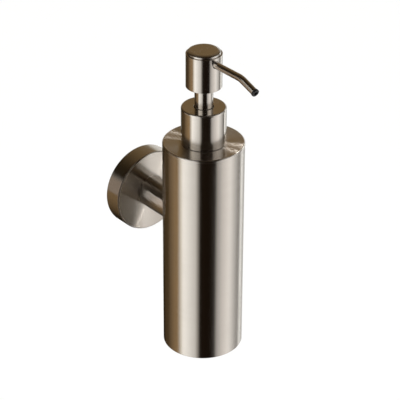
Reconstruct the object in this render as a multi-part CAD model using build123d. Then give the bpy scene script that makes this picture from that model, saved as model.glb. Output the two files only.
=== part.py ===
from build123d import *
import os

# Wall mounted soap dispenser, in millimetres. The wall is the plane y = 0 and the dispenser
# stands out along -Y. The origin is the middle of the rosette, where it meets the wall.

# Wall mount
wall_reach = 63.5              # wall to the vessel's axis
rosette_radius = 26.8
rosette_depth = 12.0
rosette_wall = 2.5
rosette_face = 1.5
rosette_edge = 0.9
rosette_back_edge = 0.3
plate_radius = 24.0
plate_depth = 6.0
plate_hole_radius = 8.0
wall_hole_radius = 2.5
wall_hole_spacing = 32.0
countersink_radius = 4.8
groove_depth = 1.5
groove_distance = 3.5          # from the wall to the rim groove and the grub screw
grub_radius = 2.0
grub_end = 26.4                # outer end of the grub screw, below the rosette's middle
grub_shoulder = 24.4
grub_tip = 22.9
grub_cone_radius = 1.6
grub_tip_radius = 0.3
grub_hex = 2.0                 # across flats
grub_hex_depth = 1.3

# Post
post_radius = 10.25
post_wall = 1.2
plug_length = 12.0
post_screw_radius = 3.0
post_screw_length = 12.3
post_screw_head_radius = 4.8
post_screw_head_height = 3.2
post_screw_hex = 4.0           # across flats
post_screw_hex_depth = 2.0
washer_hole_radius = 3.2
washer_radius = 5.4
washer_thickness = 0.8
washer_split = 0.6
pin_radius = 1.0
pin_offset = 7.2
pin_length = 6.5

# Vessel
vessel_radius = 25.0
vessel_wall = 1.0
vessel_bottom = -85.0
vessel_top = 56.8
vessel_bottom_edge = 0.4
shoulder_thickness = 1.5
shoulder_edge = 0.8
base_recess = 1.0
base_thickness = 1.2
neck_height = 11.0
neck_crest_radius = 11.7       # outside of the thread
neck_spigot_radius = 11.0
neck_bore_radius = 9.6
neck_chamfer = 0.5

# Gasket and pump
gasket_thickness = 1.5
gasket_inner_radius = 9.1
gasket_outer_radius = 11.5
flange_thickness = 1.5
flange_radius = 11.4
barrel_radius = 8.0
barrel_bore_radius = 6.8
barrel_floor = 27.8
barrel_taper_top = 25.5
seat_height = 22.5
seat_radius = 1.6
pocket_radius = 2.7
socket_bottom = 12.0
socket_top = 20.5
socket_radius = 4.0
dip_tube_radius = 2.75
dip_tube_bore_radius = 2.0
dip_tube_end = -81.0
dip_tube_cut = 45.0            # slant of its lower end, in degrees
vent_radius = 0.5
vent_height = 64.0             # air hole in the barrel, above the stem guide's disc
check_ball_radius = 2.25
check_ball_height = 24.13
cage_thickness = 1.2
cage_radius = 6.6
cage_slots = 3
cage_slot_width = 1.2
cage_slot_reach = 2.6
spring_radius = 5.0            # to the middle of the wire
spring_wire_radius = 0.45
spring_turns = 6.5

# Piston and stem
guide_base = 60.0
guide_disc_thickness = 2.5
guide_top = 77.6
guide_radius = 4.4
guide_bore_radius = 2.88
stem_radius = 2.8
stem_bottom = 52.0
stem_top = 104.0
stem_bore_radius = 0.9
valve_bore_radius = 1.3
valve_bore_top = 60.2
stop_radius = 4.2
stop_bottom = 58.1
stop_top = 59.7
rod_bottom = 50.0
rod_foot_thickness = 1.7
rod_foot_radius = 5.9
rod_top = 57.0
rod_bore_radius = 0.7
outlet_ball_radius = 1.1
outlet_ball_height = 57.88
seal_bottom = 51.9
seal_top = 57.9
seal_bore_radius = 2.85
seal_hub_radius = 4.4
seal_web = 1.4                 # thickness of the web between hub and lips
seal_hub_step = 0.2            # how far the hub stands past each lip
seal_neck_rise = 0.4           # half the height of the plain band between the lips
seal_neck_radius = 6.3
seal_lip_radius = 6.75
seal_lip_width = 0.8

# Collar
collar_radius = 13.75
collar_wall = 0.8
collar_top = 80.6
collar_gap = 0.2               # above the vessel's shoulder
collar_edge = 1.2
collar_hole_radius = 6.0
collar_hole_chamfer = 0.4
nut_bottom_gap = 0.6           # above the vessel's shoulder
nut_bore_radius = 11.8
nut_flange_gap = 0.2           # above the pump's flange
nut_flange_thickness = 2.0
nut_flange_bore_radius = 8.5

# Head
head_radius = 10.95
head_wall = 0.8
head_bottom = 94.0
head_top = 115.5
head_bottom_edge = 0.3
head_top_edge = 0.2
head_seam_chamfer = 0.3
cap_top = 117.5
cap_crown_radius = 1.9
cap_skirt_bottom = 113.9
cap_skirt_inner_radius = 9.2
cap_thickness = 1.2
core_bottom = 95.2
core_gap = 0.05                # between core and shell
core_step = 113.6
core_top = 115.6
core_top_radius = 9.0
core_channel_radius = 1.2
sleeve_radius = 5.65
sleeve_bore_radius = 5.05
sleeve_bottom = 76.6
sleeve_top = 99.5
sleeve_edge = 0.15

# Spout
spout_height = 111.5
spout_radius = 2.2
spout_bore_radius = 1.6
spout_start = 2.0              # distance of its inner end from the head's axis
spout_bend_start = 30.4        # the same, where the bend starts
spout_bend_radius = 15.4
spout_bend_angle = 20.0
spout_tail = 9.7               # straight length after the bend
spout_hole_radius = 2.35
nozzle_flange_radius = 2.48
nozzle_flange_length = 1.6
nozzle_plug_length = 5.0
nozzle_bore_radius = 1.3
nozzle_edge = 0.4

# Heights that follow from the ones above
neck_top = vessel_top + neck_height
flange_bottom = neck_top + gasket_thickness
flange_top = flange_bottom + flange_thickness
nut_flange_bottom = flange_top + nut_flange_gap
nut_radius = collar_radius - collar_wall
cage_top = barrel_floor + cage_thickness
head_bore_radius = head_radius - head_wall
post_bore_radius = post_radius - post_wall
vessel_bore_radius = vessel_radius - vessel_wall
plate_clearance_radius = rosette_radius - rosette_wall
over = 1.0                     # how far a cutting shape runs past the face it cuts


def turned(*outline):
    """A solid turned about Z from the corners of its half section, as radius and height."""
    section = make_face(Polyline(*outline, close=True))
    return revolve(Plane.XZ * section, Axis.Z)


def ring(inner, outer, low, high):
    return turned((inner, low), (outer, low), (outer, high), (inner, high))


def rod(radius, low, high):
    return Pos(0, 0, low) * Cylinder(radius, high - low, align=(Align.CENTER, Align.CENTER, Align.MIN))


def circles_at(solid, radius, height):
    """The round edges of this radius and height on a solid turned about Z."""
    found = []
    for edge in solid.edges().filter_by(GeomType.CIRCLE):
        centre = edge.arc_center
        if abs(centre.Z - height) < 0.01 and abs(edge.radius - radius) < 0.01:
            found.append(edge)
    return found


def hexagon(across, low, high):
    section = RegularPolygon(across / 2, 6, major_radius=False)
    return Pos(0, 0, low) * extrude(section, high - low)


def from_wall(solid):
    """Turns a solid made along +Z so that it stands out from the wall, along -Y."""
    return Rot(90, 0, 0) * solid


def on_vessel(solid):
    """Moves a solid made about Z onto the vessel's axis."""
    return Pos(0, -wall_reach, 0) * solid


# Wall mount ---------------------------------------------------------------------------------

def wall_plate():
    low, high = groove_distance - groove_depth, groove_distance + groove_depth
    plate = turned(
        (plate_hole_radius, 0), (plate_radius, 0), (plate_radius, low),
        (plate_radius - groove_depth, groove_distance),
        (plate_radius, high), (plate_radius, plate_depth), (plate_hole_radius, plate_depth),
    )
    sink_depth = countersink_radius - wall_hole_radius
    screw_hole = rod(wall_hole_radius, -over, plate_depth + over) + turned(
        (0, plate_depth - sink_depth), (wall_hole_radius, plate_depth - sink_depth),
        (countersink_radius, plate_depth), (countersink_radius, plate_depth + over),
        (0, plate_depth + over),
    )
    for side in (-1, 1):
        plate -= Pos(side * wall_hole_spacing / 2, 0, 0) * screw_hole
    return from_wall(plate)


def rosette():
    cover = turned(
        (washer_hole_radius, rosette_depth - rosette_face),
        (plate_clearance_radius, rosette_depth - rosette_face),
        (plate_clearance_radius, 0), (rosette_radius, 0),
        (rosette_radius, rosette_depth), (washer_hole_radius, rosette_depth),
    )
    cover = fillet(circles_at(cover, rosette_radius, rosette_depth), rosette_edge)
    cover = fillet(circles_at(cover, rosette_radius, 0), rosette_back_edge)
    cover -= Pos(0, pin_offset, 0) * rod(pin_radius, 0, rosette_depth + over)
    cover = from_wall(cover)
    grub_hole = rod(grub_radius, -rosette_radius - over, -plate_clearance_radius + over)
    return cover - Pos(0, -groove_distance, 0) * grub_hole


def grub_screw():
    screw = turned(
        (0, -grub_end), (grub_radius, -grub_end), (grub_radius, -grub_shoulder),
        (grub_cone_radius, -grub_shoulder), (grub_tip_radius, -grub_tip), (0, -grub_tip),
    )
    screw -= hexagon(grub_hex, -grub_end - over, -grub_end + grub_hex_depth)
    return Pos(0, -groove_distance, 0) * screw


def post_tube():
    tube = from_wall(ring(post_bore_radius, post_radius, rosette_depth, wall_reach))
    return tube - on_vessel(rod(vessel_radius, vessel_bottom, vessel_top))


def post_plug():
    plug = ring(post_screw_radius, post_bore_radius, rosette_depth, rosette_depth + plug_length)
    plug -= Pos(0, pin_offset, 0) * rod(pin_radius, 0, rosette_depth - rosette_face + pin_length)
    return from_wall(plug)


def post_screw():
    seat = rosette_depth - rosette_face - washer_thickness
    screw = rod(post_screw_radius, seat, seat + post_screw_length)
    screw += rod(post_screw_head_radius, seat - post_screw_head_height, seat)
    socket_end = seat - post_screw_head_height + post_screw_hex_depth
    return from_wall(screw - hexagon(post_screw_hex, 0, socket_end))


def lock_washer():
    high = rosette_depth - rosette_face
    washer = ring(washer_hole_radius, washer_radius, high - washer_thickness, high)
    return from_wall(washer - Pos(washer_radius, 0, high) * Box(washer_radius * 2, washer_split, high))


def locating_pin():
    low = rosette_depth - rosette_face
    return from_wall(Pos(0, pin_offset, 0) * rod(pin_radius, low, low + pin_length))


# Vessel -------------------------------------------------------------------------------------

def vessel_tube():
    tube = ring(vessel_bore_radius, vessel_radius, vessel_bottom, vessel_top - shoulder_thickness)
    return on_vessel(fillet(circles_at(tube, vessel_radius, vessel_bottom), vessel_bottom_edge))


def vessel_base():
    low = vessel_bottom + base_recess
    return on_vessel(rod(vessel_bore_radius, low, low + base_thickness))


def vessel_shoulder():
    disc = ring(neck_spigot_radius, vessel_radius, vessel_top - shoulder_thickness, vessel_top)
    return on_vessel(fillet(circles_at(disc, vessel_radius, vessel_top), shoulder_edge))


def vessel_neck():
    low = vessel_top - shoulder_thickness
    return on_vessel(turned(
        (neck_bore_radius, low), (neck_spigot_radius, low), (neck_spigot_radius, vessel_top),
        (neck_crest_radius, vessel_top), (neck_crest_radius, neck_top - neck_chamfer),
        (neck_crest_radius - neck_chamfer, neck_top), (neck_bore_radius, neck_top),
    ))


# Pump, fixed in the neck --------------------------------------------------------------------

def neck_gasket():
    return on_vessel(ring(gasket_inner_radius, gasket_outer_radius, neck_top, flange_bottom))


def pump_body():
    body = turned(
        (dip_tube_radius, socket_bottom), (socket_radius, socket_bottom), (socket_radius, socket_top),
        (barrel_radius, barrel_taper_top), (barrel_radius, flange_bottom),
        (flange_radius, flange_bottom), (flange_radius, flange_top), (barrel_bore_radius, flange_top),
        (barrel_bore_radius, barrel_floor), (pocket_radius, barrel_floor),
        (pocket_radius, seat_height + pocket_radius - seat_radius), (seat_radius, seat_height),
        (seat_radius, socket_top), (dip_tube_radius, socket_top),
    )
    vent = Pos(0, 0, vent_height) * Rot(0, 90, 0) * rod(vent_radius, 0, barrel_radius + over)
    return on_vessel(body - vent)


def stem_guide():
    disc_top = guide_base + guide_disc_thickness
    return on_vessel(turned(
        (guide_bore_radius, guide_base), (barrel_bore_radius, guide_base), (barrel_bore_radius, disc_top),
        (guide_radius, disc_top), (guide_radius, guide_top), (guide_bore_radius, guide_top),
    ))


def ball_cage():
    cage = ring(seat_radius, cage_radius, barrel_floor, cage_top)
    slot = Pos(cage_slot_reach / 2, 0, 0) * Box(cage_slot_reach, cage_slot_width, 2 * cage_top)
    for index in range(cage_slots):
        cage -= Rot(0, 0, index * 360 / cage_slots) * slot
    return on_vessel(cage)


def check_ball():
    return on_vessel(Pos(0, 0, check_ball_height) * Sphere(check_ball_radius))


def return_spring():
    low = cage_top + spring_wire_radius
    length = rod_bottom - cage_top - 2 * spring_wire_radius
    helix = Helix(length / spring_turns, length, spring_radius)
    section = Plane(helix @ 0, z_dir=helix % 0) * Circle(spring_wire_radius)
    return on_vessel(Pos(0, 0, low) * sweep(section, helix, is_frenet=True))


def dip_tube():
    tube = ring(dip_tube_bore_radius, dip_tube_radius, dip_tube_end, socket_top)
    cutter_size = 8 * dip_tube_radius
    below = Box(cutter_size, cutter_size, cutter_size, align=(Align.CENTER, Align.CENTER, Align.MAX))
    return on_vessel(tube - Pos(0, 0, dip_tube_end + dip_tube_radius) * Rot(0, dip_tube_cut, 0) * below)


# Piston and stem ----------------------------------------------------------------------------

def piston_seal():
    middle = (seal_bottom + seal_top) / 2
    web = seal_web / 2
    hub_end = (seal_top - seal_bottom) / 2
    lip_end = hub_end - seal_hub_step
    lip_inner = seal_lip_radius - seal_lip_width / 2
    root_radius = seal_neck_radius - seal_lip_width
    half = [
        (seal_bore_radius, hub_end), (seal_hub_radius, hub_end), (seal_hub_radius, web),
        (root_radius, web), (lip_inner, lip_end), (seal_lip_radius, lip_end),
        (seal_lip_radius, lip_end - seal_lip_width), (seal_neck_radius, seal_neck_rise),
    ]
    upper = [(radius, middle + height) for radius, height in half]
    lower = [(radius, middle - height) for radius, height in reversed(half)]
    return on_vessel(turned(*upper, *lower))


def stem():
    return on_vessel(turned(
        (valve_bore_radius, stem_bottom), (stem_radius, stem_bottom), (stem_radius, stop_bottom),
        (stop_radius, stop_bottom), (stop_radius, stop_top), (stem_radius, stop_top),
        (stem_radius, stem_top), (stem_bore_radius, stem_top), (stem_bore_radius, valve_bore_top),
        (valve_bore_radius, valve_bore_top),
    ))


def piston_rod():
    foot_top = rod_bottom + rod_foot_thickness
    return on_vessel(turned(
        (rod_bore_radius, rod_bottom), (rod_foot_radius, rod_bottom), (rod_foot_radius, foot_top),
        (valve_bore_radius, foot_top), (valve_bore_radius, rod_top), (rod_bore_radius, rod_top),
    ))


def outlet_ball():
    return on_vessel(Pos(0, 0, outlet_ball_height) * Sphere(outlet_ball_radius))


# Collar -------------------------------------------------------------------------------------

def collar_shell():
    low = vessel_top + collar_gap
    ceiling = collar_top - collar_wall
    shell = turned(
        (nut_radius, low), (collar_radius, low), (collar_radius, collar_top),
        (collar_hole_radius, collar_top), (collar_hole_radius, ceiling), (nut_radius, ceiling),
    )
    shell = fillet(circles_at(shell, collar_radius, collar_top), collar_edge)
    return on_vessel(chamfer(circles_at(shell, collar_hole_radius, collar_top), collar_hole_chamfer))


def collar_nut():
    low = vessel_top + nut_bottom_gap
    top = nut_flange_bottom + nut_flange_thickness
    return on_vessel(turned(
        (nut_bore_radius, low), (nut_radius, low), (nut_radius, top),
        (nut_flange_bore_radius, top), (nut_flange_bore_radius, nut_flange_bottom),
        (nut_bore_radius, nut_flange_bottom),
    ))


# Head ---------------------------------------------------------------------------------------

def spout_bore(radius, near, far):
    """A round bar along the spout's straight part, between two distances from the head's axis."""
    return Pos(0, 0, spout_height) * from_wall(rod(radius, near, far))


def head_shell():
    shell = ring(head_bore_radius, head_radius, head_bottom, head_top)
    shell = fillet(circles_at(shell, head_radius, head_bottom), head_bottom_edge)
    shell = fillet(circles_at(shell, head_radius, head_top), head_top_edge)
    shell = chamfer(circles_at(shell, head_bore_radius, head_top), head_seam_chamfer)
    return on_vessel(shell - spout_bore(spout_hole_radius, spout_start, head_radius + over))


def head_cap():
    ceiling = cap_top - cap_thickness
    cap = turned(
        (0, ceiling), (cap_skirt_inner_radius, ceiling), (cap_skirt_inner_radius, cap_skirt_bottom),
        (head_bore_radius, cap_skirt_bottom), (head_bore_radius, cap_top), (0, cap_top),
    )
    return on_vessel(fillet(circles_at(cap, head_bore_radius, cap_top), cap_crown_radius))


def head_core():
    radius = head_bore_radius - core_gap
    core = turned(
        (0, core_bottom), (radius, core_bottom), (radius, core_step), (core_top_radius, core_step),
        (core_top_radius, core_top), (0, core_top),
    )
    core -= rod(stem_radius, core_bottom - over, stem_top)
    core -= rod(core_channel_radius, stem_top - over, spout_height)
    core -= ring(sleeve_bore_radius, sleeve_radius, core_bottom - over, sleeve_top)
    core -= spout_bore(spout_radius, spout_start, head_radius)
    return on_vessel(core - spout_bore(core_channel_radius, 0, spout_start + over))


def stem_sleeve():
    sleeve = ring(sleeve_bore_radius, sleeve_radius, sleeve_bottom, sleeve_top)
    return on_vessel(fillet(circles_at(sleeve, sleeve_radius, sleeve_bottom), sleeve_edge))


def spout_path():
    """The spout's centre line: straight out of the head, then one bend downwards."""
    tangent = spout_bend_radius * tan_degrees(spout_bend_angle / 2)
    corner = Vector(0, -spout_bend_start - tangent, spout_height)
    tail = Vector(0, -1, 0).rotate(Axis.X, spout_bend_angle) * (tangent + spout_tail)
    start = Vector(0, -spout_start, spout_height)
    return FilletPolyline(start, corner, corner + tail, radius=spout_bend_radius)


def tan_degrees(angle):
    slope = Vector(1, 0, 0).rotate(Axis.Z, angle)
    return slope.Y / slope.X


def spout_tube():
    path = spout_path()
    section = Plane(path @ 0, z_dir=path % 0) * (Circle(spout_radius) - Circle(spout_bore_radius))
    return on_vessel(sweep(section, path))


def nozzle_insert():
    path = spout_path()
    insert = turned(
        (nozzle_bore_radius, -nozzle_plug_length), (spout_bore_radius, -nozzle_plug_length),
        (spout_bore_radius, 0), (nozzle_flange_radius, 0),
        (nozzle_flange_radius, nozzle_flange_length), (nozzle_bore_radius, nozzle_flange_length),
    )
    insert = fillet(circles_at(insert, nozzle_flange_radius, nozzle_flange_length), nozzle_edge)
    return on_vessel(Plane(path @ 1, z_dir=path % 1).location * insert)


parts = {
    "wall_plate": wall_plate,
    "rosette": rosette,
    "grub_screw": grub_screw,
    "post_tube": post_tube,
    "post_plug": post_plug,
    "post_screw": post_screw,
    "lock_washer": lock_washer,
    "locating_pin": locating_pin,
    "vessel_tube": vessel_tube,
    "vessel_base": vessel_base,
    "vessel_shoulder": vessel_shoulder,
    "vessel_neck": vessel_neck,
    "neck_gasket": neck_gasket,
    "pump_body": pump_body,
    "stem_guide": stem_guide,
    "ball_cage": ball_cage,
    "check_ball": check_ball,
    "return_spring": return_spring,
    "dip_tube": dip_tube,
    "piston_seal": piston_seal,
    "stem": stem,
    "piston_rod": piston_rod,
    "outlet_ball": outlet_ball,
    "collar_shell": collar_shell,
    "collar_nut": collar_nut,
    "head_shell": head_shell,
    "head_cap": head_cap,
    "head_core": head_core,
    "stem_sleeve": stem_sleeve,
    "spout_tube": spout_tube,
    "nozzle_insert": nozzle_insert,
}

os.makedirs("parts", exist_ok=True)
for node, make in parts.items():
    export_step(make(), f"parts/{node}.step")
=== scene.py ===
import bmesh
import bpy
from math import cos, pi, radians, sin, sqrt, tan
from mathutils import Matrix, Vector


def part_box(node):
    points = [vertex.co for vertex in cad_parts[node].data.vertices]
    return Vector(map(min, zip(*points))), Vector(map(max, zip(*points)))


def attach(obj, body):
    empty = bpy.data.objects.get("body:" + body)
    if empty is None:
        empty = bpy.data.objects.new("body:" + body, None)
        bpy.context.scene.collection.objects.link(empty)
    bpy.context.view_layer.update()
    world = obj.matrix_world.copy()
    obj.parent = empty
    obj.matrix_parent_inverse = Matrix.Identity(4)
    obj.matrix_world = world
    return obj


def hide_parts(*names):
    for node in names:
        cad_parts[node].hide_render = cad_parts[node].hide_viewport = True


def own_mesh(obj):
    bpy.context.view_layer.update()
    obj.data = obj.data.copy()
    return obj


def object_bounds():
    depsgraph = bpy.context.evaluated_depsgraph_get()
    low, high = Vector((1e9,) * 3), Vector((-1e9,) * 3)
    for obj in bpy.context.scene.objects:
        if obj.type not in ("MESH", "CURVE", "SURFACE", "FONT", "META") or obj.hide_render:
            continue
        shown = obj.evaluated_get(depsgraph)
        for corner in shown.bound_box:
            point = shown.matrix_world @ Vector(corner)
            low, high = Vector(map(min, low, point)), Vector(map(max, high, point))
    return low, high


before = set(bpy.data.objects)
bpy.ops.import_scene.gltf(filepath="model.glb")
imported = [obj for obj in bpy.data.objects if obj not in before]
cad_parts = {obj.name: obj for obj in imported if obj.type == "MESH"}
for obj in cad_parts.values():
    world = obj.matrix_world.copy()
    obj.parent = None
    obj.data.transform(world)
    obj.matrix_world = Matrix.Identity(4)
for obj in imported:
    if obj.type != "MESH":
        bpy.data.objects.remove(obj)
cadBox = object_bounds()

scene = bpy.context.scene
mm = 0.001
sharpAngle = radians(32)


def boxOf(node):
    # where a CAD node is, read from its imported mesh
    low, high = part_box(node)
    return {"low": low, "high": high, "middle": (low + high) / 2,
            "radius": (high.x - low.x) / 2, "bottom": low.z, "top": high.z}


tubeBox = boxOf("vessel_tube")
vesselAxis = Vector((tubeBox["middle"].x, tubeBox["middle"].y, 0))
wallReach = -vesselAxis.y


def directionOf(around, up):
    # in degrees: 0 around is straight out of the wall, and 90 is to the right, facing it
    turn, rise = radians(around), radians(up)
    return Vector((sin(turn) * cos(rise), -cos(turn) * cos(rise), sin(rise)))


cameraSet = {
    "azimuth": -39.74,      # degrees
    "elevation": 30.13,
    "roll": 0.23,
    "distance": 1.073,
    "lens": 156.3,
    "aimRight": -2.0 * mm,  # from the vessel's axis, level with the post
    "aimUp": 13.8 * mm,
}


def makeCamera(look):
    back = directionOf(look["azimuth"], look["elevation"])
    turn = back.to_track_quat("Z", "Y").to_matrix() @ Matrix.Rotation(radians(look["roll"]), 3, "Z")
    data = bpy.data.cameras.new("camera")
    data.lens = look["lens"]
    data.clip_start, data.clip_end = 0.05, 30
    camera = bpy.data.objects.new("camera", data)
    scene.collection.objects.link(camera)
    aim = vesselAxis + turn.col[0] * look["aimRight"] + turn.col[1] * look["aimUp"]
    camera.matrix_world = Matrix.Translation(aim + back * look["distance"]) @ turn.to_4x4()
    scene.camera = camera


makeCamera(cameraSet)
print("camera placed")


# addNode and the short functions after it serve the materials and the geometry trees alike
def addNode(tree, kind, values=None, **settings):
    made = tree.nodes.new(kind)
    made.location = (len(tree.nodes) * 180 % 1800, -(len(tree.nodes) // 10) * 260)
    for name, value in settings.items():
        setattr(made, name, value)
    for socket, value in (values or {}).items():
        if isinstance(value, bpy.types.NodeSocket):
            tree.links.new(value, made.inputs[socket])
        else:
            made.inputs[socket].default_value = value
    return made


def calc(tree, kind, a, b=0.0, c=0.0):
    return addNode(tree, "ShaderNodeMath", {0: a, 1: b, 2: c}, operation=kind).outputs[0]


def calcVector(tree, kind, a, b):
    return addNode(tree, "ShaderNodeVectorMath", {0: a, 1: b}, operation=kind).outputs[0]


def spread(tree, value, low, high, toLow=0.0, toHigh=1.0):
    values = {"Value": value, "From Min": low, "From Max": high, "To Min": toLow, "To Max": toHigh}
    return addNode(tree, "ShaderNodeMapRange", values).outputs[0]


def blendColour(tree, share, a, b):
    made = addNode(tree, "ShaderNodeMix", data_type="RGBA")
    for socket, value in ((made.inputs[0], share), (made.inputs[6], a), (made.inputs[7], b)):
        if isinstance(value, bpy.types.NodeSocket):
            tree.links.new(value, socket)
        else:
            socket.default_value = value
    return made.outputs[2]


def noise(tree, place, scale, detail=2.0, w=None):
    values = {"Vector": place, "Scale": scale, "Detail": detail}
    made = addNode(tree, "ShaderNodeTexNoise", values, noise_dimensions="4D" if w else "3D")
    if w:
        tree.links.new(w, made.inputs["W"])
    return made.outputs[0]


def newMaterial(name):
    material = bpy.data.materials.new(name)
    material.use_nodes = True
    tree = material.node_tree
    place = addNode(tree, "ShaderNodeTexCoord").outputs["Object"]
    return material, tree, tree.nodes["Principled BSDF"], place


def bump(tree, shader, height, depth, strength):
    made = addNode(tree, "ShaderNodeBump", {"Height": height, "Distance": depth, "Strength": strength})
    tree.links.new(made.outputs[0], shader.inputs["Normal"])


midTones = (0.3, 0.7)   # where a noise's values mostly are


def brushedSteel(name, look):
    # hair lines run round each turned piece: they change quickly along its outline (the piece's
    # own U) and slowly round it, so the fourth noise dimension is the outline length
    material, tree, shader, place = newMaterial(name)
    run = addNode(tree, "ShaderNodeUVMap", uv_map="turned").outputs[0]
    along = addNode(tree, "ShaderNodeSeparateXYZ", {0: run}).outputs[0]
    edge = addNode(tree, "ShaderNodeAttribute", attribute_name="edge").outputs["Fac"]
    hair = noise(tree, place, look["hairLength"], 2, calc(tree, "MULTIPLY", along, look["hairCount"]))
    band = noise(tree, place, look["bandLength"], 3, calc(tree, "MULTIPLY", along, look["bandCount"]))
    cloud = noise(tree, place, look["cloudScale"], 3)
    scratch = spread(tree, hair, *look["scratchRange"])
    tone = calc(tree, "MULTIPLY", band, 1 - look["hairShare"])
    tone = spread(tree, calc(tree, "MULTIPLY_ADD", hair, look["hairShare"], tone), *midTones)
    colour = blendColour(tree, tone, look["dark"], look["light"])
    colour = blendColour(tree, calc(tree, "MULTIPLY", scratch, look["scratch"]), colour, look["bare"])
    colour = blendColour(tree, calc(tree, "MULTIPLY", edge, look["wear"]), colour, look["bare"])
    tree.links.new(colour, shader.inputs["Base Color"])
    rough = spread(tree, cloud, *midTones, look["smooth"], look["rough"])
    rough = calc(tree, "MULTIPLY_ADD", hair, look["hairRough"], rough)
    rough = calc(tree, "ADD", rough, calc(tree, "MULTIPLY", edge, look["edgeBlur"]))
    facing = addNode(tree, "ShaderNodeTexCoord").outputs["Normal"]
    upward = addNode(tree, "ShaderNodeSeparateXYZ", {0: facing}).outputs[2]
    rough = calc(tree, "ADD", rough, spread(tree, upward, *look["topRange"], 0, look["topBlur"]))
    tree.links.new(rough, shader.inputs["Roughness"])
    shader.inputs["Metallic"].default_value = 1.0
    shader.inputs["Anisotropic"].default_value = look["stretch"]
    tangent = addNode(tree, "ShaderNodeTangent", direction_type="UV_MAP", uv_map="turned").outputs[0]
    tree.links.new(tangent, shader.inputs["Tangent"])
    height = calc(tree, "MULTIPLY_ADD", band, look["bandHeight"], hair)
    bump(tree, shader, height, look["depth"], look["relief"])
    return material


steelLook = {
    "dark": (0.555, 0.515, 0.465, 1),
    "light": (0.675, 0.635, 0.585, 1),
    "bare": (0.74, 0.71, 0.67, 1),
    "smooth": 0.18, "rough": 0.22, "hairRough": 0.03,
    "stretch": 1.0,
    "hairLength": 26.0, "hairCount": 7000.0, "hairShare": 0.55,   # counts are per metre
    "bandLength": 12.0, "bandCount": 900.0, "bandHeight": 0.5,
    "cloudScale": 55.0,
    "scratch": 0.35, "scratchRange": (0.68, 0.74), "wear": 0.45,
    "edgeBlur": 0.14,                               # edges are coarser
    "topBlur": 0.03, "topRange": (0.92, 0.99),      # and so are faces that look up
    "depth": 0.01 * mm, "relief": 0.09,
}
fineLook = {**steelLook, "smooth": 0.14, "rough": 0.18, "stretch": 0.75, "hairCount": 10000.0,
            "topBlur": 0.0}
sleeveLook = {**steelLook, "smooth": 0.16, "rough": 0.2, "stretch": 0.8, "hairCount": 12000.0,
              "scratch": 0.15, "relief": 0.06}


def machinedSteel(name, look):
    # plain turned or drawn steel out of sight: faint rings about the part's own axis
    material, tree, shader, place = newMaterial(name)
    offAxis = calcVector(tree, "SUBTRACT", place, look["centre"])
    offAxis = calcVector(tree, "MULTIPLY", offAxis, look["across"])
    ring = addNode(tree, "ShaderNodeVectorMath", {0: offAxis}, operation="LENGTH").outputs["Value"]
    marks = noise(tree, place, look["ringLength"], 2, calc(tree, "MULTIPLY", ring, look["ringCount"]))
    grime = noise(tree, place, look["grime"], 4)
    colour = blendColour(tree, spread(tree, marks, *midTones), look["dark"], look["light"])
    dulled = spread(tree, grime, *look["dullRange"], 0, look["dulling"])
    tree.links.new(blendColour(tree, dulled, colour, look["dull"]), shader.inputs["Base Color"])
    rough = spread(tree, grime, *midTones, look["smooth"], look["rough"])
    tree.links.new(rough, shader.inputs["Roughness"])
    shader.inputs["Metallic"].default_value = 1.0
    bump(tree, shader, marks, look["depth"], look["relief"])
    return material


wallSteelLook = {
    "centre": (0, 0, 0), "across": (1, 0, 1), "ringCount": 2500.0,
    "dark": (0.44, 0.44, 0.43, 1), "light": (0.57, 0.57, 0.56, 1), "dull": (0.33, 0.32, 0.3, 1),
    "ringLength": 20.0, "grime": 240.0, "dullRange": (0.62, 0.8), "dulling": 0.4,
    "smooth": 0.3, "rough": 0.45, "depth": 0.01 * mm, "relief": 0.3,
}
neckSteelLook = {**wallSteelLook, "centre": tuple(vesselAxis), "across": (1, 1, 0)}
ballLook = {**neckSteelLook, "ringCount": 300.0, "dark": (0.6, 0.59, 0.57, 1),
            "light": (0.66, 0.65, 0.63, 1), "smooth": 0.07, "rough": 0.13}


def mouldedPlastic(name, look):
    # fine spark-eroded grain with faint flow clouds
    material, tree, shader, place = newMaterial(name)
    grain = noise(tree, place, look["grain"], 2)
    flow = noise(tree, calcVector(tree, "MULTIPLY", place, look["flowStretch"]), look["flow"], 4)
    colour = blendColour(tree, spread(tree, flow, *midTones), look["dark"], look["light"])
    tree.links.new(colour, shader.inputs["Base Color"])
    rough = spread(tree, grain, *look["grainRange"], look["smooth"], look["rough"])
    tree.links.new(rough, shader.inputs["Roughness"])
    shader.inputs["IOR"].default_value = look["ior"]
    shader.inputs["Transmission Weight"].default_value = look["clear"]
    shader.inputs["Subsurface Weight"].default_value = look["milky"]
    shader.inputs["Subsurface Scale"].default_value = look["milkDepth"]
    bump(tree, shader, grain, look["depth"], look["relief"])
    return material


blackLook = {
    "dark": (0.004, 0.004, 0.0045, 1), "light": (0.010, 0.010, 0.0105, 1),
    "grain": 3500.0, "grainRange": (0.25, 0.75), "flow": 180.0, "flowStretch": (1, 1, 0.35),
    "smooth": 0.22, "rough": 0.34, "depth": 0.02 * mm, "relief": 0.35,
    "ior": 1.5, "clear": 0.0, "milky": 0.0, "milkDepth": 1.5 * mm,
}
whiteLook = {**blackLook, "dark": (0.74, 0.74, 0.71, 1), "light": (0.84, 0.84, 0.82, 1),
             "smooth": 0.34, "rough": 0.44, "milky": 0.25}
tubeLook = {**blackLook, "dark": (0.80, 0.82, 0.82, 1), "light": (0.88, 0.9, 0.9, 1),
            "smooth": 0.16, "rough": 0.26, "clear": 0.65, "milky": 0.1}
rubberLook = {**blackLook, "dark": (0.035, 0.035, 0.037, 1), "light": (0.07, 0.07, 0.073, 1),
              "grain": 2200.0, "smooth": 0.6, "rough": 0.78, "depth": 0.03 * mm}

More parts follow.
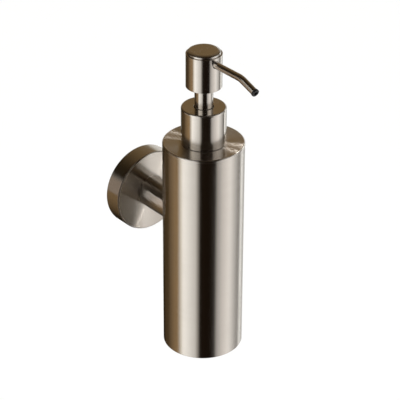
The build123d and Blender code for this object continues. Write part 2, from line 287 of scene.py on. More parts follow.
steel = brushedSteel("brushedSteel", steelLook)
fineSteel = brushedSteel("fineSteel", fineLook)
sleeveSteel = brushedSteel("sleeveSteel", sleeveLook)
wallSteel = machinedSteel("wallSteel", wallSteelLook)
neckSteel = machinedSteel("neckSteel", neckSteelLook)
ballSteel = machinedSteel("ballSteel", ballLook)
blackPlastic = mouldedPlastic("blackPlastic", blackLook)
whitePlastic = mouldedPlastic("whitePlastic", whiteLook)
milkyTube = mouldedPlastic("milkyTube", tubeLook)
sealRubber = mouldedPlastic("sealRubber", rubberLook)
print("materials made")


def newTree(name, sockets):
    tree = bpy.data.node_groups.new(name, "GeometryNodeTree")
    tree.interface.new_socket("Geometry", in_out="INPUT", socket_type="NodeSocketGeometry")
    for label, kind in sockets.items():
        tree.interface.new_socket(label, in_out="INPUT", socket_type="NodeSocket" + kind)
    tree.interface.new_socket("Geometry", in_out="OUTPUT", socket_type="NodeSocketGeometry")
    return tree, addNode(tree, "NodeGroupInput").outputs


def endTree(tree, geometry, material):
    # every tree ends the same way: smooth, real geometry with its material
    smooth = addNode(tree, "GeometryNodeSetShadeSmooth", {"Geometry": geometry}).outputs[0]
    real = addNode(tree, "GeometryNodeRealizeInstances", {"Geometry": smooth}).outputs[0]
    done = addNode(tree, "GeometryNodeSetMaterial", {"Geometry": real, "Material": material}).outputs[0]
    addNode(tree, "NodeGroupOutput", {"Geometry": done})
    return tree


def makeTurningTree():
    # turns an outline round Z. The outline's points hold radius, length so far and height.
    tree, given = newTree("turnedPiece", {"Segments": "Int", "Axis": "Vector", "Material": "Material"})
    count = addNode(tree, "GeometryNodeAttributeDomainSize", {"Geometry": given["Geometry"]}).outputs[0]
    columns = calc(tree, "ADD", given["Segments"], 1)
    grid = addNode(tree, "GeometryNodeMeshGrid", {"Vertices X": columns, "Vertices Y": count}).outputs[0]
    index = addNode(tree, "GeometryNodeInputIndex").outputs[0]
    row = calc(tree, "MODULO", index, count)
    turn = calc(tree, "DIVIDE", calc(tree, "FLOOR", calc(tree, "DIVIDE", index, count)), given["Segments"])
    spot = addNode(tree, "GeometryNodeInputPosition").outputs[0]
    values = {"Geometry": given["Geometry"], "Value": spot, "Index": row}
    point = addNode(tree, "GeometryNodeSampleIndex", values, data_type="FLOAT_VECTOR").outputs[0]
    mark = addNode(tree, "GeometryNodeInputNamedAttribute", {"Name": "edge"}, data_type="FLOAT").outputs[0]
    values = {"Geometry": given["Geometry"], "Value": mark, "Index": row}
    edge = addNode(tree, "GeometryNodeSampleIndex", values, data_type="FLOAT").outputs[0]
    radius, run, height = addNode(tree, "ShaderNodeSeparateXYZ", {0: point}).outputs
    angle = calc(tree, "MULTIPLY", turn, 2 * pi)
    x = calc(tree, "MULTIPLY", radius, calc(tree, "COSINE", angle))
    y = calc(tree, "MULTIPLY", radius, calc(tree, "SINE", angle))
    spun = addNode(tree, "ShaderNodeCombineXYZ", {0: x, 1: y, 2: height}).outputs[0]
    spun = calcVector(tree, "ADD", spun, given["Axis"])
    uv = addNode(tree, "ShaderNodeCombineXYZ", {0: run, 1: turn}).outputs[0]
    uv = addNode(tree, "GeometryNodeFieldOnDomain", {0: uv}, data_type="FLOAT_VECTOR", domain="POINT")
    values = {"Geometry": grid, "Name": "turned", "Value": uv.outputs[0]}
    mesh = addNode(tree, "GeometryNodeStoreNamedAttribute", values, data_type="FLOAT2", domain="CORNER")
    values = {"Geometry": mesh.outputs[0], "Name": "edge", "Value": edge}
    mesh = addNode(tree, "GeometryNodeStoreNamedAttribute", values, data_type="FLOAT", domain="POINT")
    mesh = addNode(tree, "GeometryNodeSetPosition", {"Geometry": mesh.outputs[0], "Position": spun})
    mesh = addNode(tree, "GeometryNodeMergeByDistance", {"Geometry": mesh.outputs[0], "Distance": 1e-6})
    return endTree(tree, mesh.outputs[0], given["Material"])


def makeWindingTree():
    # a wire wound round Z, with flat turns at both ends: the spring, and both threads' ridges
    tree, given = newTree("woundWire", {
        "Radius": "Float", "Wire Radius": "Float", "Turns": "Float", "End Turns": "Float",
        "Base": "Float", "Rise": "Float", "Steps": "Int", "Axis": "Vector", "Material": "Material"})
    steps = calc(tree, "MULTIPLY", given["Turns"], given["Steps"])
    line = addNode(tree, "GeometryNodeMeshLine", {"Count": calc(tree, "ADD", steps, 1)}).outputs[0]
    turned = calc(tree, "DIVIDE", addNode(tree, "GeometryNodeInputIndex").outputs[0], given["Steps"])
    angle = calc(tree, "MULTIPLY", turned, 2 * pi)
    lastOpen = calc(tree, "SUBTRACT", given["Turns"], given["End Turns"])
    top = calc(tree, "ADD", given["Base"], given["Rise"])
    height = spread(tree, turned, given["End Turns"], lastOpen, given["Base"], top)
    x = calc(tree, "MULTIPLY", given["Radius"], calc(tree, "COSINE", angle))
    y = calc(tree, "MULTIPLY", given["Radius"], calc(tree, "SINE", angle))
    spun = addNode(tree, "ShaderNodeCombineXYZ", {0: x, 1: y, 2: height}).outputs[0]
    spun = calcVector(tree, "ADD", spun, given["Axis"])
    wire = addNode(tree, "GeometryNodeSetPosition", {"Geometry": line, "Position": spun}).outputs[0]
    path = addNode(tree, "GeometryNodeMeshToCurve", {"Mesh": wire}).outputs[0]
    section = addNode(tree, "GeometryNodeCurvePrimitiveCircle", {"Resolution": 12}).outputs[0]
    scaled = addNode(tree, "GeometryNodeTransform", {"Geometry": section})
    size = addNode(tree, "ShaderNodeCombineXYZ", {0: given["Wire Radius"], 1: given["Wire Radius"], 2: 1.0})
    tree.links.new(size.outputs[0], scaled.inputs["Scale"])
    values = {"Curve": path, "Profile Curve": scaled.outputs[0], "Fill Caps": True}
    swept = addNode(tree, "GeometryNodeCurveToMesh", values).outputs[0]
    return endTree(tree, swept, given["Material"])


turningTree = makeTurningTree()
windingTree = makeWindingTree()
print("geometry trees built")


def runTree(name, mesh, tree, settings):
    # the modifier's result becomes the piece's own plain mesh, and the modifier goes
    piece = bpy.data.objects.new(name, mesh)
    scene.collection.objects.link(piece)
    modifier = piece.modifiers.new(tree.name, "NODES")
    modifier.node_group = tree
    for socket in tree.interface.items_tree:
        if socket.name in settings:
            modifier[socket.identifier] = settings[socket.name]
    piece.update_tag()
    shape = bpy.data.meshes.new_from_object(piece.evaluated_get(bpy.context.evaluated_depsgraph_get()))
    piece.modifiers.remove(modifier)
    piece.data = shape
    shape.name = name
    return piece


def cleanMesh(mesh):
    work = bmesh.new()
    work.from_mesh(mesh)
    bmesh.ops.dissolve_degenerate(work, dist=1e-7, edges=work.edges)
    bmesh.ops.recalc_face_normals(work, faces=work.faces)
    work.to_mesh(mesh)
    work.free()
    mesh.set_sharp_from_angle(angle=sharpAngle)


def roundCorners(corners, closed, arcSteps=7, hold=0.12 * mm):
    # corners are (radius, height, rounding). Returns points with a mark for how near an edge they
    # are, and holding points just off each corner, so that flat walls shade flat
    points = []
    count = len(corners)
    for i, (radius, height, rounding) in enumerate(corners):
        here = Vector((radius, height))
        if not closed and i in (0, count - 1):
            points.append((here, 0.0))
            continue
        before = Vector(corners[i - 1][:2]) - here
        after = Vector(corners[(i + 1) % count][:2]) - here
        inward, outward = before.normalized(), after.normalized()
        half = inward.angle(outward) / 2
        reach = rounding / tan(half)
        held = min(hold, before.length / 4, after.length / 4)
        points.append((here + inward * (reach + held), 0.0))
        if rounding > 0:
            middle = here + (inward + outward).normalized() * (rounding / sin(half))
            first, last = here + inward * reach - middle, here + outward * reach - middle
            swing = first.angle_signed(last)
            for step in range(arcSteps + 1):
                share = step / arcSteps
                arm = first.copy()
                arm.rotate(Matrix.Rotation(-swing * share, 2))
                points.append((middle + arm, sin(pi * share)))
        else:
            points.append((here, 1.0))
        points.append((here + outward * (reach + held), 0.0))
    if closed:
        points.append(points[0])
    return points


def turnPiece(name, corners, material, axis, segments=192, closed=True, rows=None):
    points = roundCorners(corners, closed)
    if rows:
        points = fillRows(points, rows)
    spots, run = [], 0.0
    for i, (point, mark) in enumerate(points):
        if i:
            run += (point - points[i - 1][0]).length
        spots.append((point.x, run, point.y))
    outline = bpy.data.meshes.new(name + "Outline")
    outline.from_pydata(spots, [(i, i + 1) for i in range(len(spots) - 1)], [])
    marks = outline.attributes.new("edge", "FLOAT", "POINT")
    marks.data.foreach_set("value", [mark for point, mark in points])
    settings = {"Segments": segments, "Axis": tuple(axis), "Material": material}
    piece = runTree(name, outline, turningTree, settings)
    cleanMesh(piece.data)
    return piece


def fillRows(points, spacing):
    # extra points along long straight stretches, for a piece that is bent afterwards
    filled = [points[0]]
    for point, mark in points[1:]:
        start = filled[-1][0]
        pieces = max(1, round((point - start).length / spacing))
        for i in range(1, pieces):
            filled.append((start.lerp(point, i / pieces), 0.0))
        filled.append((point, mark))
    return filled


def ringCorners(inner, outer, bottom, top, rounding=(0, 0, 0, 0)):
    # roundings in order: inner bottom, outer bottom, outer top, inner top
    places = ((inner, bottom), (outer, bottom), (outer, top), (inner, top))
    return [(*place, size) for place, size in zip(places, rounding)]


def windPiece(name, look, axis, material):
    settings = {
        "Radius": look["radius"], "Wire Radius": look["wire"], "Turns": look["turns"],
        "End Turns": look["endTurns"], "Base": look["base"], "Rise": look["rise"],
        "Steps": look["steps"], "Axis": tuple(axis), "Material": material}
    piece = runTree(name, bpy.data.meshes.new(name), windingTree, settings)
    cleanMesh(piece.data)
    return piece


def cutHole(piece, radius, start, end, steps=64):
    # a round hole along the line from start to end
    cutter = bpy.data.objects.new("cutter", bpy.data.meshes.new("cutter"))
    scene.collection.objects.link(cutter)
    work = bmesh.new()
    line = Vector(end) - Vector(start)
    bmesh.ops.create_cone(work, cap_ends=True, segments=steps, radius1=radius, radius2=radius,
                          depth=line.length)
    turn = line.to_track_quat("Z", "Y").to_matrix().to_4x4()
    bmesh.ops.transform(work, matrix=Matrix.Translation((Vector(start) + Vector(end)) / 2) @ turn,
                        verts=work.verts)
    work.to_mesh(cutter.data)
    work.free()
    modifier = piece.modifiers.new("hole", "BOOLEAN")
    modifier.object = cutter
    modifier.solver = "EXACT"
    shape = bpy.data.meshes.new_from_object(piece.evaluated_get(bpy.context.evaluated_depsgraph_get()))
    piece.modifiers.remove(modifier)
    piece.data = shape
    bpy.data.objects.remove(cutter)
    shape.set_sharp_from_angle(angle=sharpAngle)


def join(piece, other):
    # takes the other piece's faces in, and removes it
    work = bmesh.new()
    work.from_mesh(piece.data)
    work.from_mesh(other.data)
    work.to_mesh(piece.data)
    work.free()
    bpy.data.objects.remove(other)
    piece.data.set_sharp_from_angle(angle=sharpAngle)


def mount(piece, body, slot, *nodes):
    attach(piece, body)
    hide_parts(*nodes)


fromWall = Matrix.Rotation(radians(90), 4, "X")   # +Z becomes -Y, out of the wall

# rosette, with the grub screw's hole under it
rosetteSet = {
    "wall": 2.5 * mm, "face": 1.5 * mm, "middleHole": 3.2 * mm,
    "frontEdge": 0.9 * mm, "backEdge": 0.3 * mm, "screwGap": 0.1 * mm, "segments": 224,
}


def makeRosette(look):
    box = boxOf("rosette")
    radius, depth = box["radius"], box["high"].y - box["low"].y
    inner, under = radius - look["wall"], depth - look["face"]
    piece = turnPiece("wallRosette", [
        (look["middleHole"], under, 0), (inner, under, 0.4 * mm), (inner, 0, 0.2 * mm),
        (radius, 0, look["backEdge"]), (radius, depth, look["frontEdge"]), (look["middleHole"], depth, 0),
    ], steel, (0, 0, 0), look["segments"])
    piece.data.transform(fromWall)
    screw = boxOf("grub_screw")
    outside = Vector((screw["middle"].x, screw["middle"].y, -radius - mm))
    inside = Vector((screw["middle"].x, screw["middle"].y, mm - inner))
    cutHole(piece, screw["radius"] + look["screwGap"], outside, inside)
    mount(piece, "holder", "brushed_steel", "rosette")


makeRosette(rosetteSet)

# post, with its end saddled on the vessel
postSet = {"wall": 1.2 * mm, "saddleBand": 0.5 * mm, "segments": 128}


def makePost(look):
    box = boxOf("post_tube")
    radius, start = box["radius"], -box["high"].y
    vessel = tubeBox["radius"]
    end = wallReach - vessel
    piece = turnPiece("standPost", ringCorners(radius - look["wall"], radius, start, end),
                      steel, (0, 0, 0), look["segments"])
    piece.data.transform(fromWall)
    for vertex in piece.data.vertices:
        if -vertex.co.y > end - look["saddleBand"]:
            setBack = -vertex.co.y - end
            vertex.co.y = -(wallReach - sqrt(vessel ** 2 - vertex.co.x ** 2) + setBack)
    mount(piece, "holder", "brushed_steel", "post_tube")


makePost(postSet)

# vessel: tube, recessed base, shoulder and threaded neck
vesselSet = {
    "wall": 1.0 * mm, "bottomEdge": 0.4 * mm, "shoulderEdge": 0.8 * mm, "segments": 224,
    "spigot": 11.0 * mm, "root": 11.1 * mm, "bore": 9.6 * mm, "neckEdge": 0.3 * mm,
}
neckThreadSet = {"radius": 11.1 * mm, "wire": 0.58 * mm, "turns": 2.75, "endTurns": 0.0,
                 "above": 1.8 * mm, "rise": 8.25 * mm, "steps": 96}


def makeVessel(look):
    radius = tubeBox["radius"]
    bore = radius - look["wall"]
    seam = tubeBox["top"]
    tube = turnPiece("vesselTube", ringCorners(
        bore, radius, tubeBox["bottom"], seam, (0.2 * mm, look["bottomEdge"], 0, 0)),
        steel, vesselAxis, look["segments"])
    mount(tube, "holder", "brushed_steel", "vessel_tube")
    top = boxOf("vessel_shoulder")["top"]
    shoulder = turnPiece("vesselShoulder", ringCorners(
        look["spigot"], radius, seam, top, (0, 0, look["shoulderEdge"], 0.1 * mm)),
        steel, vesselAxis, look["segments"])
    mount(shoulder, "holder", "brushed_steel", "vessel_shoulder")
    disc = boxOf("vessel_base")
    base = turnPiece("vesselBase", [
        (0, disc["bottom"], 0), (bore, disc["bottom"], 0), (bore, disc["top"], 0), (0, disc["top"], 0),
    ], steel, vesselAxis, look["segments"], closed=False)
    mount(base, "holder", "brushed_steel", "vessel_base")
    neckBox = boxOf("vessel_neck")
    neck = turnPiece("threadedNeck", [
        (look["bore"], seam, 0), (look["spigot"], seam, 0), (look["spigot"], top, 0),
        (look["root"], top, 0), (look["root"], neckBox["top"], look["neckEdge"]),
        (look["bore"], neckBox["top"], 0.2 * mm),
    ], steel, vesselAxis, 128)
    thread = {**neckThreadSet, "base": top + neckThreadSet["above"]}
    join(neck, windPiece("neckRidge", thread, vesselAxis, steel))
    mount(neck, "holder", "plain_steel", "vessel_neck")


makeVessel(vesselSet)
print("holder built")

# gasket under the pump's flange
gasketSet = {"inner": 9.1 * mm, "edge": 0.3 * mm}


def makeGasket(look):
    box = boxOf("neck_gasket")
    corners = ringCorners(look["inner"], box["radius"], box["bottom"], box["top"], [look["edge"]] * 4)
    piece = turnPiece("flangeGasket", corners, sealRubber, vesselAxis, 96)
    mount(piece, "gasket", "seal_rubber", "neck_gasket")


makeGasket(gasketSet)

# return spring, wound at one length between the ends of the CAD spring, though the real one shortens as the
# head goes down
springSet = {"radius": 5.0 * mm, "wire": 0.45 * mm, "turns": 8.0, "endTurns": 0.9, "steps": 40}


def makeSpring(look):
    box = boxOf("return_spring")
    base = box["bottom"] + look["wire"]
    rise = box["top"] - box["bottom"] - 2 * look["wire"]
    piece = windPiece("returnSpring", {**look, "base": base, "rise": rise}, vesselAxis, neckSteel)
    mount(piece, "pump", "plain_steel", "return_spring")
    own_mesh(piece)


makeSpring(springSet)

# collar: steel shell over a threaded plastic nut
collarSet = {
    "wall": 0.8 * mm, "edge": 1.2 * mm, "hole": 6.0 * mm, "holeEdge": 0.3 * mm, "segments": 160,
    "nutRoot": 12.4 * mm, "nutHole": 8.5 * mm, "nutFlange": 2.0 * mm,
}
nutThreadSet = {"radius": 12.35 * mm, "wire": 0.5 * mm, "turns": 3.5, "endTurns": 0.0,
                "above": 1.2 * mm, "rise": 10.5 * mm, "steps": 96}


def makeCollar(look):
    box = boxOf("collar_shell")
    radius, bottom, top = box["radius"], box["bottom"], box["top"]
    inner, under = radius - look["wall"], top - look["wall"]
    shell = turnPiece("collarShell", [
        (inner, bottom, 0.15 * mm), (radius, bottom, 0.2 * mm), (radius, top, look["edge"]),
        (look["hole"], top, look["holeEdge"]), (look["hole"], under, 0.1 * mm), (inner, under, 0.5 * mm),
    ], fineSteel, vesselAxis, look["segments"])
    mount(shell, "collar", "brushed_steel", "collar_shell")
    nutBox = boxOf("collar_nut")
    step = nutBox["top"] - look["nutFlange"]
    nut = turnPiece("collarNut", [
        (look["nutRoot"], nutBox["bottom"], 0.1 * mm), (nutBox["radius"], nutBox["bottom"], 0.2 * mm),
        (nutBox["radius"], nutBox["top"], 0.3 * mm), (look["nutHole"], nutBox["top"], 0.3 * mm),
        (look["nutHole"], step, 0.2 * mm), (look["nutRoot"], step, 0.3 * mm),
    ], blackPlastic, vesselAxis, 128)
    thread = {**nutThreadSet, "base": nutBox["bottom"] + nutThreadSet["above"]}
    join(nut, windPiece("nutRidge", thread, vesselAxis, blackPlastic))
    mount(nut, "collar", "black_plastic", "collar_nut")


makeCollar(collarSet)

# head: shell with the spout's hole, cap, and the sleeve below
headSet = {
    "wall": 0.8 * mm, "bottomEdge": 0.3 * mm, "topEdge": 0.2 * mm, "seamEdge": 0.25 * mm,
    "crownDrop": 0.95 * mm, "crownSide": 1.2 * mm, "crownReach": 1.6 * mm, "crownTop": 3.6 * mm,
    "capWall": 0.95 * mm, "capFace": 1.2 * mm, "seamGap": 0.04 * mm,
    "spoutGap": 0.15 * mm, "sleeveWall": 0.6 * mm, "sleeveEdge": 0.15 * mm, "segments": 144,
}
spoutBox = boxOf("spout_tube")
spoutHeight = spoutBox["top"] - spoutBox["radius"]


def makeHead(look):
    box = boxOf("head_shell")
    bore = box["radius"] - look["wall"]
    shell = turnPiece("headShell", ringCorners(
        bore, box["radius"], box["bottom"], box["top"],
        (look["topEdge"], look["bottomEdge"], look["topEdge"], look["seamEdge"])),
        fineSteel, vesselAxis, look["segments"])
    through = Vector((vesselAxis.x, vesselAxis.y - bore + mm, spoutHeight))
    cutHole(shell, spoutBox["radius"] + look["spoutGap"], through, through + Vector((0, -3 * mm, 0)))
    mount(shell, "head", "brushed_steel", "head_shell")
    capBox = boxOf("head_cap")
    outer, top, skirt = capBox["radius"] - look["seamGap"], capBox["top"], capBox["bottom"]
    inner, under = outer - look["capWall"], top - look["capFace"]
    cap = turnPiece("headCap", [
        (0, under, 0), (inner, under, 0.3 * mm), (inner, skirt, 0.1 * mm), (outer, skirt, 0.1 * mm),
        (outer, top - look["crownDrop"], look["crownSide"]),
        (outer - look["crownReach"], top, look["crownTop"]), (0, top, 0),
    ], fineSteel, vesselAxis, look["segments"], closed=False)
    mount(cap, "head", "brushed_steel", "head_cap")
    sleeveBox = boxOf("stem_sleeve")
    sleeve = turnPiece("stemSleeve", ringCorners(
        sleeveBox["radius"] - look["sleeveWall"], sleeveBox["radius"], sleeveBox["bottom"],
        sleeveBox["top"], [look["sleeveEdge"]] * 4), sleeveSteel, vesselAxis, 96)
    mount(sleeve, "head", "polished_steel", "stem_sleeve")


makeHead(headSet)

# spout: a straight tube bent once, with the nozzle in its end
spoutSet = {
    "wall": 0.6 * mm, "bendStart": 30.4 * mm, "bendRadius": 15.4 * mm, "bendAngle": 20.0,
    "tail": 9.7 * mm, "edge": 0.1 * mm, "rows": 0.6 * mm,
    "flange": 2.4 * mm, "flangeLength": 1.6 * mm, "flangeEdge": 0.4 * mm,
    "plug": 5.0 * mm, "plugRadius": 1.58 * mm, "bore": 1.3 * mm,
}


def spoutPlace(distance, look):
    # where the spout's middle line is, and its direction, this far from the head's axis
    bend = radians(look["bendAngle"])
    past = distance - look["bendStart"]
    turned = min(max(past / look["bendRadius"], 0), bend)
    out = min(distance, look["bendStart"]) + look["bendRadius"] * sin(turned)
    down = look["bendRadius"] * (1 - cos(turned))
    left = max(past - look["bendRadius"] * bend, 0)
    out, down = out + left * cos(bend), down + left * sin(bend)
    middle = Vector((vesselAxis.x, vesselAxis.y - out, spoutHeight - down))
    return middle, Vector((0, -cos(turned), -sin(turned)))


def bendSpout(piece, look):
    for vertex in piece.data.vertices:
        middle, forward = spoutPlace(vertex.co.z, look)
        upward = Vector((0, forward.z, -forward.y))
        vertex.co = middle + Vector((vertex.co.x, 0, 0)) + upward * vertex.co.y


def makeSpout(look):
    start = vesselAxis.y - spoutBox["high"].y
    end = look["bendStart"] + look["bendRadius"] * radians(look["bendAngle"]) + look["tail"]
    radius = spoutBox["radius"]
    inner = radius - look["wall"]
    tube = turnPiece("spoutTube", ringCorners(inner, radius, start, end, [look["edge"]] * 4),
                     fineSteel, (0, 0, 0), 64, rows=look["rows"])
    bendSpout(tube, look)
    cleanMesh(tube.data)
    mount(tube, "head", "brushed_steel", "spout_tube")
    tip = turnPiece("nozzleTip", [
        (look["bore"], end - look["plug"], 0.1 * mm), (look["plugRadius"], end - look["plug"], 0.1 * mm),
        (look["plugRadius"], end, 0), (look["flange"], end, 0.15 * mm),
        (look["flange"], end + look["flangeLength"], look["flangeEdge"]),
        (look["bore"], end + look["flangeLength"], 0.2 * mm),
    ], blackPlastic, (0, 0, 0), 64)
    bendSpout(tip, look)
    cleanMesh(tip.data)
    mount(tip, "head", "black_plastic", "nozzle_insert")


makeSpout(spoutSet)
print("pump, collar and head built")

# the CAD pieces that stay, each with its finish
keptFinish = {
    "wall_plate": wallSteel, "grub_screw": wallSteel, "post_plug": wallSteel, "post_screw": wallSteel,
    "lock_washer": wallSteel, "locating_pin": wallSteel, "pump_body": whitePlastic,
    "stem_guide": whitePlastic, "ball_cage": whitePlastic, "check_ball": ballSteel,
    "dip_tube": milkyTube, "piston_seal": sealRubber, "stem": whitePlastic, "piston_rod": whitePlastic,
    "outlet_ball": ballSteel, "head_core": blackPlastic,
}
hiddenFinish = {
    "rosette": wallSteel, "post_tube": wallSteel, "vessel_tube": neckSteel, "vessel_base": neckSteel,
    "vessel_shoulder": neckSteel, "vessel_neck": neckSteel, "neck_gasket": sealRubber,
    "return_spring": neckSteel, "collar_shell": neckSteel, "collar_nut": blackPlastic,
    "head_shell": neckSteel, "head_cap": neckSteel, "stem_sleeve": neckSteel, "spout_tube": neckSteel,
    "nozzle_insert": blackPlastic,
}
for node, finish in {**keptFinish, **hiddenFinish}.items():
    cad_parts[node].data.materials.clear()
    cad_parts[node].data.materials.append(finish)
print("CAD pieces finished")

# studio: a floor, even air, and a warm dome, cards and small lamps that only reflections see
studioSet = {
    "floorDrop": 0.9, "floorSize": 8.0, "floorColour": (0.95, 0.95, 0.945, 1), "floorRough": 0.9,
    "air": (1.0, 1.0, 1.0, 1), "airStrength": 1.08,
    "domeRadius": 4.0, "domeColour": (1.0, 0.68, 0.34, 1),
    "domeWarmSide": (138, 30), "domeEdge": 0.4, "domeLevels": (0.022, 0.225),   # dark side, warm side
    "cardDistance": 0.9, "linkedDistance": 0.915, "lampDistance": 0.86,
    "lampRadius": 0.013, "lampSides": 16, "lampColour": (1.0, 0.98, 0.95),
}
cardDistances = {"highFlag": 0.88}   # the others are all at cardDistance, and it crosses some of them
# each card: the angles round the vessel that it starts and ends at, its level at both, its lowest
# and highest angle, and its colour
cardSet = {
    "windowEdge": (-112, -100, 0.50, 1.40, -78, 45, (1.0, 0.96, 0.88)),
    "window": (-100, -60, 1.50, 0.78, -78, 45, (1.0, 1.0, 0.99)),
    "windowFade": (-60, -49, 0.70, 0.05, -78, 45, (1.0, 0.97, 0.93)),
    "blackFlag": (-49, -5, 0.014, 0.010, -78, 70, (1.0, 0.6, 0.35)),
    "highFlag": (-55, 7, 0.014, 0.012, -12, 72, (1.0, 0.6, 0.35)),
    "bankEdge": (-5, 2, 0.20, 0.62, -78, 40, (1.0, 0.97, 0.94)),
    "bankLeft": (2, 38, 0.60, 1.22, -78, 40, (1.0, 0.98, 0.97)),
    "bankRight": (38, 66, 1.22, 0.56, -78, 40, (1.0, 1.0, 1.0)),
    "bankEnd": (66, 80, 0.52, 0.10, -78, 40, (1.0, 0.99, 0.97)),
    "stripEdge": (82, 90, 0.40, 1.70, -78, 26, (1.0, 1.0, 0.99)),
    "strip": (90, 100, 1.75, 1.20, -78, 26, (0.99, 1.0, 0.99)),
    "sideGap": (100, 116, 0.46, 0.50, -60, 26, (1.0, 1.0, 0.98)),
    "sideSheet": (116, 136, 0.72, 1.05, -45, 21, (1.0, 1.01, 1.0)),
    "sideFade": (136, 170, 0.85, 0.16, -33, 12, (1.0, 0.95, 0.82)),
    "backDark": (-180, -152, 0.10, 0.085, -50, -16, (1.0, 0.64, 0.30)),
    "backLeft": (-152, -112, 0.13, 0.46, -50, -14, (1.0, 0.66, 0.33)),
    "leftSheet": (-144, -116, 0.34, 0.48, -14, 15, (1.0, 0.80, 0.64)),
}
# the rosette and the post sit in the shade of the vessel, so these cards leave them out
shadedPieces = ["wallRosette", "standPost"]
shadedCards = ["windowEdge", "window", "windowFade", "bankLeft", "bankRight", "bankEnd"]
# and these light nothing else
soloCards = {
    "wallWindow": (["wallRosette", "standPost"], (-100, -49, 0.16, 0.03, -78, 45, (1.0, 0.96, 0.93))),
    "wallBank": (["wallRosette", "standPost"], (2, 46, 0.62, 1.15, -78, 40, (1.0, 0.98, 0.96))),
    "wallBankEnd": (["wallRosette", "standPost"], (46, 80, 0.24, 0.14, -78, 40, (1.0, 0.96, 0.92))),
    "rimSheet": (["wallRosette"], (-150, -114, 0.30, 0.30, -38, 18, (1.0, 0.96, 0.92))),
    "postSheet": (["standPost"], (-120, -98, 5.0, 3.0, -26, 24, (1.0, 0.96, 0.92))),
}
# small lamps that draw the streaks on turned faces: the piece, angle round, height, level
lampSet = {
    "shoulderHigh": ("vesselShoulder", 110.9, 41.4, 360.0),
    "shoulderLow": ("vesselShoulder", 116.6, 28.9, 300.0),
    "rosetteLamp": ("wallRosette", 56.6, 2.8, 1500.0),
}
lampAim = {"vesselShoulder": Vector((vesselAxis.x, vesselAxis.y, boxOf("vessel_shoulder")["top"])),
           "wallRosette": Vector((0, boxOf("rosette")["low"].y, 0))}


def linkLight(lamp, pieces, state="INCLUDE"):
    # the lamp lights these pieces only, or with EXCLUDE all but these
    group = bpy.data.collections.new(lamp.name + "Pieces")
    for piece in pieces:
        group.objects.link(bpy.data.objects[piece])
    for entry in group.collection_objects:
        entry.light_linking.link_state = state
    lamp.light_linking.receiver_collection = group


def hideFromAllButMirrors(obj):
    obj.visible_camera = False
    obj.visible_diffuse = False
    obj.visible_shadow = False
    obj.visible_transmission = False


def glowMaterial(name, colour, sheer):
    material = bpy.data.materials.new(name)
    material.use_nodes = True
    tree = material.node_tree
    tree.nodes.clear()
    level = addNode(tree, "ShaderNodeAttribute", attribute_name="level").outputs["Fac"]
    surface = addNode(tree, "ShaderNodeEmission", {"Color": (*colour[:3], 1), "Strength": level}).outputs[0]
    if sheer:
        clear = addNode(tree, "ShaderNodeBsdfTransparent").outputs[0]
        surface = addNode(tree, "ShaderNodeAddShader", {0: surface, 1: clear}).outputs[0]
    addNode(tree, "ShaderNodeOutputMaterial", {"Surface": surface})
    return material


def addGlowMesh(name, points, faces, levels, colour, sheer=False):
    mesh = bpy.data.meshes.new(name)
    mesh.from_pydata(points, [], faces)
    marks = mesh.attributes.new("level", "FLOAT", "POINT")
    marks.data.foreach_set("value", levels)
    mesh.materials.append(glowMaterial(name, colour, sheer))
    obj = bpy.data.objects.new(name, mesh)
    scene.collection.objects.link(obj)
    hideFromAllButMirrors(obj)
    return obj


def makeCard(name, distance, settings, sheer=False, columns=12, rows=6):
    start, end, first, last, low, high, colour = settings
    points, levels = [], []
    for i in range(columns + 1):
        around = start + (end - start) * i / columns
        for j in range(rows + 1):
            up = low + (high - low) * j / rows
            points.append(vesselAxis + directionOf(around, up) * distance)
            levels.append(first + (last - first) * i / columns)
    step = rows + 1
    faces = [(i * step + j, (i + 1) * step + j, (i + 1) * step + j + 1, i * step + j + 1)
             for i in range(columns) for j in range(rows)]
    return addGlowMesh(name, points, faces, levels, colour, sheer)


def makeLamp(name, piece, around, up, level, look):
    middle = lampAim[piece] + directionOf(around, up) * look["lampDistance"]
    side = directionOf(around + 90, 0) * look["lampRadius"]
    over = directionOf(around, up + 90) * look["lampRadius"]
    sides = look["lampSides"]
    rim = []
    for i in range(sides):
        turn = 2 * pi * i / sides
        rim.append(middle + side * cos(turn) + over * sin(turn))
    lamp = addGlowMesh(name, rim, [tuple(range(sides))], [level] * sides, look["lampColour"])
    linkLight(lamp, [piece])


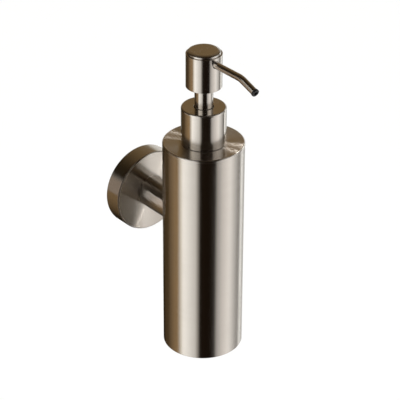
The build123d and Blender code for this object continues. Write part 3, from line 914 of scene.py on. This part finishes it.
def makeFloor(look):
    size, low = look["floorSize"], cadBox[0].z - look["floorDrop"]
    corners = [(-size, -size, low), (size, -size, low), (size, size, low), (-size, size, low)]
    mesh = bpy.data.meshes.new("floor")
    mesh.from_pydata(corners, [], [(0, 1, 2, 3)])
    floor = bpy.data.objects.new("floor", mesh)
    scene.collection.objects.link(floor)
    floor.visible_glossy = False
    paint = bpy.data.materials.new("floorPaint")
    paint.use_nodes = True
    shader = paint.node_tree.nodes["Principled BSDF"]
    shader.inputs["Base Color"].default_value = look["floorColour"]
    shader.inputs["Roughness"].default_value = look["floorRough"]
    mesh.materials.append(paint)


def makeAir(look):
    world = bpy.data.worlds.new("studioAir")
    world.use_nodes = True
    scene.world = world
    air = world.node_tree.nodes["Background"]
    air.inputs["Color"].default_value = look["air"]
    air.inputs["Strength"].default_value = look["airStrength"]


def makeDome(look):
    ball = bmesh.new()
    bmesh.ops.create_icosphere(ball, subdivisions=4, radius=look["domeRadius"])
    points = [vertex.co.copy() for vertex in ball.verts]
    faces = [tuple(vertex.index for vertex in face.verts) for face in ball.faces]
    ball.free()
    warm = directionOf(*look["domeWarmSide"])
    dark, bright = look["domeLevels"]
    edge = look["domeEdge"]
    shares = [max(0, (point.normalized().dot(warm) - edge) / (1 - edge)) for point in points]
    levels = [dark + (bright - dark) * share * share for share in shares]
    addGlowMesh("dome", points, faces, levels, look["domeColour"])


def makeCards(look):
    # cards that are linked to pieces are sheer, so that they don't stand in each other's way
    for name, settings in cardSet.items():
        distance = cardDistances.get(name, look["cardDistance"])
        card = makeCard(name, distance, settings, sheer=name in shadedCards)
        if name in shadedCards:
            linkLight(card, shadedPieces, "EXCLUDE")
    for name, (pieces, settings) in soloCards.items():
        linkLight(makeCard(name, look["linkedDistance"], settings, sheer=True), pieces)
    for name, settings in lampSet.items():
        makeLamp(name, *settings, look)


makeFloor(studioSet)
makeAir(studioSet)
makeDome(studioSet)
makeCards(studioSet)

# a dark card near the wall, behind the vessel on its right, keeps the side sheet off the rosette
sideFlagSet = {
    "wall": -5 * mm, "left": 27 * mm, "right": 72 * mm, "low": -150 * mm, "high": 48 * mm,
    "level": 0.012, "colour": (1.0, 0.7, 0.5),
}


def makeSideFlag(look):
    wall, left, right, low, high = (look[side] for side in ("wall", "left", "right", "low", "high"))
    corners = [(left, wall, low), (right, wall, low), (right, wall, high), (left, wall, high)]
    addGlowMesh("sideFlag", corners, [(0, 1, 2, 3)], [look["level"]] * 4, look["colour"])


makeSideFlag(sideFlagSet)
scene.view_settings.view_transform = "Standard"
print("studio lit")
